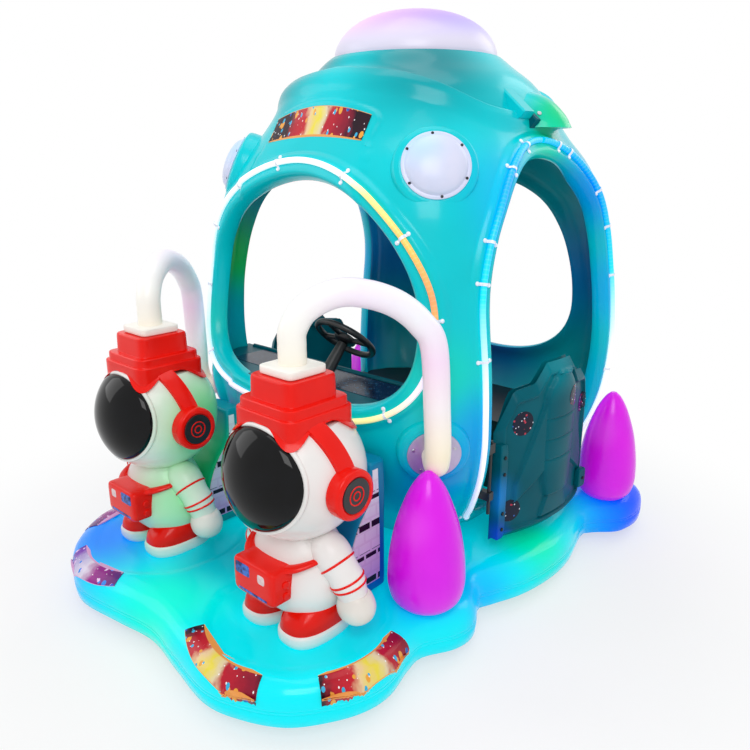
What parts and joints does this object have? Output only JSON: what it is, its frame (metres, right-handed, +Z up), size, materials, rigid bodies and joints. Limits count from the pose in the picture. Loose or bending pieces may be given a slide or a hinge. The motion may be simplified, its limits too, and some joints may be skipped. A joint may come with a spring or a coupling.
{
  "type": "kiddie ride machine",
  "caption": "Rocking children's ride: an open space capsule with bench, steering wheel and side doors, on a cloud-shaped base with astronaut figures and lit tubes.",
  "frame": {"origin": "on the floor, under the middle of the overall box", "axes": "+Z up; the ride faces -Y; +X is its own right side"},
  "size_m": [1.8446, 2.38, 2.3246],
  "materials": {
    "painted_steel": "black powder coat, satin",
    "foot_rubber": "moulded matt rubber",
    "zinc_steel": "zinc-plated, satin",
    "lit_blue_gelcoat": "glossy blue gelcoat on glass-fibre laminate",
    "turquoise_gelcoat": "glossy turquoise gelcoat on glass-fibre laminate",
    "deep_teal_gelcoat": "glossy dark teal gelcoat",
    "white_gelcoat": "glossy white gelcoat",
    "red_gelcoat": "glossy red paint",
    "magenta_diffuser": "satin translucent diffuser, lit magenta",
    "opal_diffuser": "satin opal diffuser, lit",
    "black_gloss": "polished black acrylic",
    "black_plastic": "moulded black plastic, fine grain"
  },
  "bodies": {
    "floor_frame": {"chassis_frame": "painted_steel", "levelling_foot_1": "foot_rubber", "levelling_foot_2": "foot_rubber", "levelling_foot_3": "foot_rubber", "levelling_foot_4": "foot_rubber", "bearing_block_left": "zinc_steel", "bearing_block_right": "zinc_steel", "pivot_shaft": "zinc_steel", "gearmotor": "painted_steel"},
    "crank": {"crank_disc": "zinc_steel"},
    "rod": {"connecting_rod": "zinc_steel"},
    "wheel": {"steering_wheel": "black_plastic"},
    "door_left": {"side_door_left": "deep_teal_gelcoat"},
    "door_right": {"side_door_right": "deep_teal_gelcoat"},
    "button": {"start_button": "red_gelcoat"},
    "ride": {"ride_frame": "painted_steel", "steering_column": "zinc_steel", "hose_flange_left": "zinc_steel", "hose_flange_right": "zinc_steel", "base_shell": "lit_blue_gelcoat", "capsule_front_shell": "turquoise_gelcoat", "capsule_rear_shell": "turquoise_gelcoat", "roof_cap": "turquoise_gelcoat", "roof_dome": "opal_diffuser", "corner_lamp_left": "opal_diffuser", "corner_lamp_right": "opal_diffuser", "windscreen_light_tube": "opal_diffuser", "doorway_light_front_left": "opal_diffuser", "flame_light_front_left": "magenta_diffuser", "doorway_light_rear_left": "opal_diffuser", "flame_light_rear_left": "magenta_diffuser", "astronaut_body_left": "white_gelcoat", "helmet_left": "white_gelcoat", "visor_left": "black_gloss", "cap_left": "red_gelcoat", "earphone_outer_left": "red_gelcoat", "earphone_inner_left": "red_gelcoat", "chest_pack_left": "red_gelcoat", "backpack_left": "deep_teal_gelcoat", "hose_plate_left": "opal_diffuser", "light_hose_left": "opal_diffuser", "door_hinge_left": "black_plastic", "doorway_light_front_right": "opal_diffuser", "flame_light_front_right": "magenta_diffuser", "doorway_light_rear_right": "opal_diffuser", "flame_light_rear_right": "magenta_diffuser", "astronaut_body_right": "white_gelcoat", "helmet_right": "white_gelcoat", "visor_right": "black_gloss", "cap_right": "red_gelcoat", "earphone_outer_right": "red_gelcoat", "earphone_inner_right": "red_gelcoat", "chest_pack_right": "red_gelcoat", "backpack_right": "deep_teal_gelcoat", "hose_plate_right": "opal_diffuser", "light_hose_right": "opal_diffuser", "door_hinge_right": "black_plastic", "dashboard": "deep_teal_gelcoat", "bench_seat": "black_plastic"}
  },
  "joints": [
    {"name": "ride_rock", "type": "hinge", "parent": "floor_frame", "child": "ride", "pos_m": [0, 0, 0.105], "axis": [1, 0, 0], "range_deg": [-2, 2]},
    {"name": "crank_turn", "type": "hinge", "parent": "floor_frame", "child": "crank", "pos_m": [0, 0.56, 0.115], "axis": [1, 0, 0], "continuous": true},
    {"name": "rod_pivot", "type": "hinge", "parent": "crank", "child": "rod", "pos_m": [0, 0.576, 0.115], "axis": [1, 0, 0], "continuous": true},
    {"name": "wheel_turn", "type": "hinge", "parent": "ride", "child": "wheel", "pos_m": [0, -0.12, 1.01], "axis": [0, 0.6691, 0.7431], "range_deg": [-135, 135]},
    {"name": "door_right_hinge", "type": "hinge", "parent": "ride", "child": "door_right", "pos_m": [0.695, -0.035, 0.5], "axis": [0, 0, -1], "range_deg": [-3.8, 70]},
    {"name": "door_left_hinge", "type": "hinge", "parent": "ride", "child": "door_left", "pos_m": [-0.695, -0.035, 0.5], "axis": [0, 0, 1], "range_deg": [-3.8, 70]},
    {"name": "button_press", "type": "slide", "parent": "ride", "child": "button", "axis": [0, 0, -1], "range_m": [0, 0.004], "stiffness_N_per_m": 400, "springref_m": -0.002}
  ],
  "couplings": [
    {"joint": "rod_pivot", "follows": "crank_turn", "ratio": -1}
  ]
}
